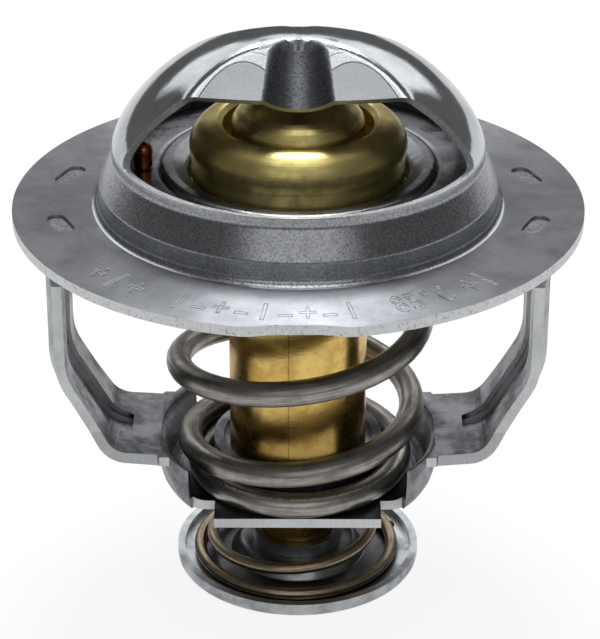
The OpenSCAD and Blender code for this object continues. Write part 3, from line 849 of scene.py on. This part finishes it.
    def slot_outline(self, sx: int, sy: int) -> list[tuple[float, float]]:
        """Outline in X and Y of the slot that one clinched tab fills."""
        length, width = self.tab_size
        half = (length - width) / 2
        flat = arc((half, 0), width / 2, -90, 90, 8) + arc((-half, 0), width / 2, 90, 270, 8)
        turn = Matrix.Rotation(math.radians(-sx * sy * self.tab_turn), 2)
        placed = [turn @ Vector(p) for p in flat]
        return [(v.x + sx * self.tab_at[0], v.y + sy * self.tab_at[1]) for v in placed]

    @staticmethod
    def pierce(mesh: bmesh.types.BMesh, outline: list[tuple[float, float]], axes: tuple[int, int],
               near: Callable[[Vector], bool]) -> None:
        """Cuts a convex outline through the sheet.

        Args:
            mesh: the sheet.
            outline: corners of the hole on two axes.
            axes: the numbers of those two axes.
            near: tells by its centre whether a face may be cut.
        """
        middle = Vector((sum(p[0] for p in outline), sum(p[1] for p in outline))) / len(outline)
        sides = []
        for first, second in zip(outline, outline[1:] + outline[:1]):
            along = Vector(second) - Vector(first)
            inward = Vector((-along.y, along.x)).normalized()
            if inward.dot(middle - Vector(first)) < 0:
                inward.negate()
            point, normal = Vector((0, 0, 0)), Vector((0, 0, 0))
            for k in (0, 1):
                point[axes[k]], normal[axes[k]] = first[k], inward[k]
            sides.append((point, normal))
        for point, normal in sides:
            faces = [f for f in mesh.faces if near(f.calc_center_median())]
            geom = set(faces) | {e for f in faces for e in f.edges} | {v for f in faces for v in f.verts}
            bmesh.ops.bisect_plane(mesh, geom=list(geom), dist=1e-5, plane_co=point, plane_no=normal)
        gone = []
        for f in mesh.faces:
            centre = f.calc_center_median()
            if near(centre) and all((centre - point).dot(normal) > 0 for point, normal in sides):
                gone.append(f)
        bmesh.ops.delete(mesh, geom=gone, context="FACES")

    def press(self, mesh: bmesh.types.BMesh) -> None:
        """Presses the strap's faces and grooves, and bows its edges out a little."""
        lean_full = math.atan2(self.dome_z(self.crown_half) - self.edge_z, self.edge_y - self.crown_half)
        for v in mesh.verts:
            if v.co.z < self.strap_from or abs(v.co.y) > self.edge_y + 0.01:
                continue
            fade = unit((v.co.z - self.strap_from) / self.strap_fade)
            bow = self.bow * max(0.0, 1 - (v.co.x / self.bow_half) ** 2)
            v.co.y *= 1 + fade * bow * (abs(v.co.y) / self.edge_y) ** 2 / self.edge_y
            flattened = self.strap_z(v.co.x, v.co.y) - self.dome_z(math.hypot(v.co.x, v.co.y))
            v.co.z += flattened * min(1.0, fade * 4)
            lean = lean_full * unit((abs(v.co.y) - self.lean_from) / self.lean_fade)
            deep = self.groove(v.co.x, v.co.y)
            v.co.z -= deep * math.cos(lean)
            v.co.y -= math.copysign(deep * math.sin(lean), v.co.y)

    def thicken(self, mesh: bmesh.types.BMesh) -> None:
        """Gives the sheet its thickness and marks the sheared edges as the second material."""
        mesh.normal_update()
        first = set(mesh.verts)
        bmesh.ops.solidify(mesh, geom=list(mesh.faces), thickness=self.sheet)
        second = [v for v in mesh.verts if v not in first]
        sizes = [sum(v.co.length for v in group) / len(group) for group in (first, second)]
        inner = first if sizes[0] < sizes[1] else set(second)
        for v in inner:
            base = self.flange_t + self.fillet
            if v.co.z < base:
                v.co.z -= (self.flange_t - self.sheet) * (base - v.co.z) / (self.fillet + self.sheet)
        for f in mesh.faces:
            count = sum(1 for v in f.verts if v in inner)
            cut = 0 < count < len(f.verts)
            flat = abs(f.normal.z) > 0.99 and f.calc_center_median().xy.length > self.lower_r + 0.6
            f.material_index = 1 if cut else 2 if flat else 0
        bmesh.ops.recalc_face_normals(mesh, faces=mesh.faces)

    def fit(self, finishes: list[Material]) -> bpy.types.Object:
        """Builds the sheet, dresses it and ties it to the frame.

        Args:
            finishes: those of the drawn sheet, of its sheared edges and of its clamping ring.

        Returns:
            The finished sheet.
        """
        sheet = self.build()
        for finish in finishes:
            sheet.data.materials.append(finish)
        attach(sheet, Body.FRAME.value)
        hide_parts("bridge_flange")
        return sheet


@dataclass
class StampedMarks:
    """The line stamped in the clamping ring: a plain opening temperature between neutral marks.

    Each mark shows as a thin bright outline, where the stamp's flanks catch the light.
    """

    BEVEL = 0.012
    CAPITAL = 0.70

    ring_z: float = 1.2
    middle_r: float = 29.6
    tall: float = 3.9
    line: float = 0.075
    groups: tuple[tuple[str, float, float], ...] = (
        ("+|+", -138.0, 5.6), ("|-+-|-+-|", -115.5, 4.6), ("85\u00b0C", -68.2, 3.5), ("+|", -50.5, 4.2))
    widths: tuple[tuple[str, float], ...] = (("+", 1.9), ("|", 0.5), ("-", 1.6), ("\u00b0", 0.8))
    usual_width: float = 1.45

    def glyph(self, letter: str, angle: float) -> bmesh.types.BMesh:
        """Makes the outline of one mark as a thin round line on the ring, tops towards the axis."""
        text = bpy.data.curves.new("mark", "FONT")
        text.body, text.fill_mode, text.resolution_u = letter, "NONE", 3
        text.bevel_depth, text.bevel_resolution = self.BEVEL, 1
        carrier = bpy.data.objects.new("mark", text)
        bpy.context.scene.collection.objects.link(carrier)
        bpy.context.view_layer.update()
        data = bpy.data.meshes.new_from_object(carrier)
        mesh = bmesh.new()
        mesh.from_mesh(data)
        bpy.data.objects.remove(carrier)
        bpy.data.curves.remove(text)
        bpy.data.meshes.remove(data)
        low, high = (Vector([end(v.co[k] for v in mesh.verts) for k in range(3)]) for end in (min, max))
        middle, span = (low + high) / 2, high - low
        width = dict(self.widths).get(letter, self.usual_width)
        bar = letter == "|"
        foot_to_middle = middle.y if bar else self.CAPITAL / 2
        growth = self.tall / (span.y if bar else self.CAPITAL)
        for v in mesh.verts:
            v.co.x = (v.co.x - middle.x) * width / span.x
            v.co.y = (v.co.y - foot_to_middle) * growth
            v.co.z *= self.line / self.BEVEL
        turn = Matrix.Rotation(math.radians(angle + 90), 4, "Z")
        to_ring = turn @ Matrix.Translation((0, -self.middle_r, self.ring_z))
        bmesh.ops.transform(mesh, matrix=to_ring, verts=mesh.verts)
        return mesh

    def fit(self, finish: Material) -> bpy.types.Object:
        """Places every mark, joins them and ties them to the frame."""
        whole = bmesh.new()
        for letters, start, step in self.groups:
            for i, letter in enumerate(letters):
                part = self.glyph(letter, start + i * step)
                data = bpy.data.meshes.new("mark")
                part.to_mesh(data)
                part.free()
                whole.from_mesh(data)
                bpy.data.meshes.remove(data)
        bmesh.ops.scale(whole, vec=(MM, MM, MM), verts=whole.verts)
        marks = make_object("stamped_marks", whole)
        marks.data.materials.append(finish)
        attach(marks, Body.FRAME.value)
        return marks


@dataclass
class Springs:
    """The main spring, which widens upwards, and the conical bypass spring."""

    main_wire: float = 3.05
    main_turns: float = 5.45
    main_closed: float = 0.8
    main_ramp: float = 1.5
    main_first_pitch: float = 2.2
    main_swell: float = 1.1
    swell_from: float = 0.9
    main_bottom_z: float = -33.55
    main_top_z: float = 3.25
    main_bottom_r: float = 11.97
    main_top_r: float = 15.3
    base_z: float = -35.1
    element_travel: float = 8.0
    bypass_wire: float = 1.45
    bypass_turns: float = 2.0
    bypass_closed: float = 0.7
    bypass_bottom_z: float = -45.95
    bypass_top_z: float = -38.05
    bypass_bottom_r: float = 12.2
    bypass_top_r: float = 6.55
    shoulder_z: float = -37.3
    bypass_travel: float = 5.0

    def main_open(self) -> float:
        """Turns between the two closed ends."""
        return self.main_turns - 2 * self.main_closed

    def main_height(self, n: float) -> float:
        """Height of the main wire's middle n turns from the bottom closed turn."""
        pitch = ((self.main_top_z - self.main_bottom_z - self.main_first_pitch * self.main_ramp / 2)
                 / (self.main_open() - self.main_ramp / 2))
        if n <= 0:
            return self.main_bottom_z
        if n < self.main_ramp:
            rise = self.main_first_pitch * n + (pitch - self.main_first_pitch) * n * n / (2 * self.main_ramp)
        else:
            rise = (self.main_first_pitch + pitch) * self.main_ramp / 2 + pitch * (n - self.main_ramp)
        share = unit((n - self.swell_from) / (self.main_open() - self.swell_from))
        rise += self.main_swell * math.sin(math.pi * share) ** 2
        return min(self.main_top_z, self.main_bottom_z + rise)

    def main_radius(self, n: float) -> float:
        """Radius of the main wire's middle."""
        share = unit(n / self.main_open())
        return self.main_bottom_r + (self.main_top_r - self.main_bottom_r) * (1 - (1 - share) ** 2.2)

    def bypass_share(self, n: float) -> float:
        """Share of the bypass spring's height reached at n turns."""
        return unit(n / self.bypass_turns)

    def bypass_height(self, n: float) -> float:
        """Height of the bypass wire's middle."""
        share = self.bypass_share(n)
        risen = 0.15 * share + 0.85 * share ** 2
        return self.bypass_bottom_z + (self.bypass_top_z - self.bypass_bottom_z) * risen

    def bypass_radius(self, n: float) -> float:
        """Radius of the bypass wire's middle."""
        share = self.bypass_share(n)
        drawn_in = 0.6 * share + 0.4 * share ** 2
        return self.bypass_bottom_r - (self.bypass_bottom_r - self.bypass_top_r) * drawn_in

    def build(self) -> list[bpy.types.Object]:
        """Makes both springs."""
        main = WoundSpring(
            name="main_spring_coil", node="main_spring", slot="main_wire", body=Body.FRAME,
            joint=Joint.ELEMENT_SLIDE, wire_d=self.main_wire, turns=self.main_turns, closed=self.main_closed,
            radius_at=self.main_radius, height_at=self.main_height, anchor_z=self.base_z,
            keep=1 - self.element_travel / (self.main_top_z + self.main_wire / 2 - self.base_z))
        bypass = WoundSpring(
            name="bypass_spring_coil", node="bypass_spring", slot="bypass_wire", body=Body.ELEMENT,
            joint=Joint.BYPASS_SLIDE, wire_d=self.bypass_wire,
            turns=self.bypass_turns + 2 * self.bypass_closed, closed=self.bypass_closed,
            radius_at=self.bypass_radius, height_at=self.bypass_height, anchor_z=self.shoulder_z,
            keep=1 - self.bypass_travel / (self.shoulder_z - self.bypass_bottom_z + self.bypass_wire / 2),
            sides=16)
        dark = SpringWire("drawn_spring_wire", ("#B5B1AB", "#7D7973"), smooth=0.34, worn_to=24.0)
        light = SpringWire("bronzed_spring_wire", ("#AB9B84", "#6E6252"), smooth=0.28, line_share=0.35)
        return [main.fit(dark.material()), bypass.fit(light.material())]


@dataclass
class Studio:
    """Camera, floor and soft light."""

    focal_px: float = 2586.49
    long_side_px: float = 639.0
    sensor: float = 36.0
    place: tuple[float, float, float] = (0.234, -277.22, 126.47)
    pitch: float = 0.4710
    roll: float = 0.0023
    floor_z: float = -47.62
    floor_half_m: float = 6.0
    floor_white: str = "#F4F5F6"
    glow: float = 0.86
    gleam: float = 0.74
    far_gleam: float = 0.22
    fade_m: tuple[float, float] = (-0.42, -0.17)
    even: float = 0.75
    back_level: float = 1.2
    high_level: float = 2.2
    front_level: float = 0.80
    top_level: float = 2.0
    dark_level: float = 0.12
    top_toward: tuple[float, float, float] = (0.0, -0.225, 0.974)
    box_at_m: tuple[float, float, float] = (0.0, 0.24, 0.47)
    box_side_m: float = 0.20
    box_watts: float = 2.3
    aim_m: tuple[float, float, float] = (0.0, 0.0, -0.01)

    def camera(self) -> None:
        """Sets the camera at the photographed viewpoint."""
        data = bpy.data.cameras.new("camera")
        data.sensor_width = self.sensor
        data.lens = self.focal_px / self.long_side_px * self.sensor
        data.clip_start, data.clip_end = 0.01, 20.0
        camera = bpy.data.objects.new("camera", data)
        bpy.context.scene.collection.objects.link(camera)
        turn = Matrix.Rotation(math.pi / 2 - self.pitch, 4, "X") @ Matrix.Rotation(self.roll, 4, "Z")
        camera.matrix_world = Matrix.Translation(Vector(self.place) * MM) @ turn
        bpy.context.scene.camera = camera

    def floor(self) -> None:
        """Lays a pale floor that keeps the object's soft shadow and shows darker in metal farther in front.

        It goes down with the element, because the part stands on its foot while the frame stays in place.
        """
        mesh = bmesh.new()
        bmesh.ops.create_grid(mesh, x_segments=1, y_segments=1, size=self.floor_half_m)
        bmesh.ops.translate(mesh, vec=(0, 0, self.floor_z * MM), verts=mesh.verts)
        floor = make_object("floor", mesh)
        material = bpy.data.materials.new("pale_floor")
        material.use_nodes = True
        g = Graph(material.node_tree)
        g.tree.nodes.clear()
        matt = g.add("ShaderNodeBsdfDiffuse", {"Color": linear(self.floor_white)})
        ray = g.add("ShaderNodeLightPath").outputs
        ahead = g.split(g.add("ShaderNodeTexCoord").outputs["Object"])["Y"]
        fade = g.add("ShaderNodeMapRange", {
            "Value": ahead, "From Min": self.fade_m[0], "From Max": self.fade_m[1],
            "To Min": self.far_gleam, "To Max": self.gleam}).outputs["Result"]
        level = g.blend(ray["Is Camera Ray"], fade, 1.0)
        glow = g.add("ShaderNodeEmission", {"Color": (1, 1, 1, 1), "Strength": level})
        seen = g.math("MAXIMUM", ray["Is Camera Ray"], ray["Is Glossy Ray"])
        share = g.product(seen, self.glow)
        both = g.add("ShaderNodeMixShader", {0: share, 1: matt.outputs[0], 2: glow.outputs[0]})
        g.add("ShaderNodeOutputMaterial", {"Surface": both.outputs[0]})
        floor.data.materials.append(material)
        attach(floor, Body.ELEMENT.value)

    def world(self) -> None:
        """Lights the scene with soft boxes behind, above and in front, between dark sides.

        Each box is a patch of directions with soft edges. Only metal sees the boxes: the camera sees
        white, and matt surfaces an even light.
        """
        world = bpy.data.worlds.new("soft_boxes")
        bpy.context.scene.world = world
        world.use_nodes = True
        g = Graph(world.node_tree)
        g.tree.nodes.clear()
        toward = g.add("ShaderNodeTexCoord").outputs["Generated"]
        x, y, z = g.split(toward)
        aside, behind = g.size_of(x), g.ramp(y, 0.0, 0.1)
        lifted = g.scaled(g.ramp(aside, 0.12, 0.40), 0.18, z)
        back = g.product(g.fall(aside, 0.54, 0.62), g.ramp(lifted, 0.40, 0.46), g.fall(z, 0.80, 0.90),
                         behind, self.back_level)
        high = g.product(g.fall(aside, 0.22, 0.34), g.ramp(z, 0.62, 0.70), g.fall(z, 0.90, 0.95),
                         behind, self.high_level)
        front = g.product(g.fall(aside, 0.35, 0.60), g.ramp(z, 0.12, 0.30), g.fall(z, 0.62, 0.80),
                          g.fall(y, -0.1, 0.0), self.front_level)
        overhead = g.add("ShaderNodeVectorMath", {0: toward, 1: self.top_toward},
                         operation="DOT_PRODUCT").outputs["Value"]
        level = back
        for other in (high, front, g.product(g.ramp(overhead, 0.92, 0.97), self.top_level), self.dark_level):
            level = g.math("MAXIMUM", level, other)
        ray = g.add("ShaderNodeLightPath").outputs
        level = g.blend(ray["Is Glossy Ray"], self.even, level)
        level = g.blend(ray["Is Camera Ray"], level, 1.0)
        shine = g.add("ShaderNodeBackground", {"Color": (1, 1, 1, 1), "Strength": level})
        g.add("ShaderNodeOutputWorld", {"Surface": shine.outputs[0]})

    def top_box(self) -> None:
        """Hangs one soft box above and behind the object, aimed at it."""
        data = bpy.data.lights.new("top_box", "AREA")
        data.shape, data.size, data.size_y = "RECTANGLE", self.box_side_m, self.box_side_m
        data.energy = self.box_watts
        lamp = bpy.data.objects.new("top_box", data)
        bpy.context.scene.collection.objects.link(lamp)
        away = Vector(self.box_at_m) - Vector(self.aim_m)
        turned = away.to_track_quat("Z", "Y").to_matrix().to_4x4()
        lamp.matrix_world = Matrix.Translation(self.box_at_m) @ turned

    def build(self) -> None:
        """Makes the camera, the floor and the lights."""
        self.camera()
        self.floor()
        self.world()
        self.top_box()


@dataclass
class Finishes:
    """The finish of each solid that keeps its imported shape."""

    steel: DrawnSteel = DrawnSteel()
    strip: FrameSteel = FrameSteel()
    brass: TurnedBrass = TurnedBrass()
    valve: PlainMetal = PlainMetal("dull_valve_steel", ("#8A8C90", "#5C5E62"), smooth=0.24)
    disc: PlainMetal = PlainMetal("plated_disc_steel", ("#C2C5C8", "#8E9195"), smooth=0.28,
                                  dish_shade="#57575B")
    pin: PlainMetal = PlainMetal("plain_copper", ("#C07A4E", "#7E4426"), smooth=0.22, ring_share=0.0)
    rod: PlainMetal = PlainMetal("ground_steel", ("#C9CBCC", "#9A9C9E"), smooth=0.12, spread=0.05)
    clip: PlainMetal = PlainMetal("dark_spring_strip", ("#5C5D5F", "#3C3D3F"), smooth=0.34)
    washer: SoftMatter = SoftMatter("hard_white_plastic", ("#E3E1DA", "#D2D0C8"), 0.4)
    boot: SoftMatter = SoftMatter("black_rubber", ("#1D1D1E", "#2A2A2B"), 0.62)
    wax: SoftMatter = SoftMatter("metal_filled_wax", ("#9C7146", "#7D5834"), 0.55)

    def dress(self, nodes: dict[str, bpy.types.Object]) -> None:
        """Gives every shown node its material."""
        plan: dict[str, Any] = {
            "lower_frame": self.strip, "wax_case": self.brass,
            "guide_cap": self.brass, "main_valve": self.valve, "bypass_valve": self.disc,
            "vent_pin": self.pin, "piston": self.rod, "stem_clip": self.clip,
            "boot_washer": self.washer, "rubber_boot": self.boot, "wax_charge": self.wax,
        }
        made: dict[str, Material] = {}
        for node, finish in plan.items():
            if finish.name not in made:
                made[finish.name] = finish.material()
            data = nodes[node].data
            data.materials.clear()
            data.materials.append(made[finish.name])
            LOG.info("%s dressed in %s", node, finish.name)


def main() -> None:
    """Builds the scene in order and reports each piece."""
    logging.basicConfig(level=logging.INFO, format="%(name)s: %(message)s")
    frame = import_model()
    bpy.context.scene.view_settings.view_transform = "Standard"
    Studio().build()
    finishes = Finishes()
    finishes.dress(frame["nodes"])
    bridge = DrawnBridge().fit([each.material() for each in (finishes.steel, ShearedEdge(), BrushedRing())])
    LOG.info("%s pressed with %d faces", bridge.name, len(bridge.data.polygons))
    flank = PlainMetal("bright_stamp_flank", ("#D6D8DA", "#B2B4B7"), smooth=0.26)
    marks = StampedMarks().fit(flank.material())
    LOG.info("%s stamped with %d faces", marks.name, len(marks.data.polygons))
    for coil in Springs().build():
        LOG.info("%s wound with %d vertices", coil.name, len(coil.data.vertices))
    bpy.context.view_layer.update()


if __name__ == "__main__":
    main()
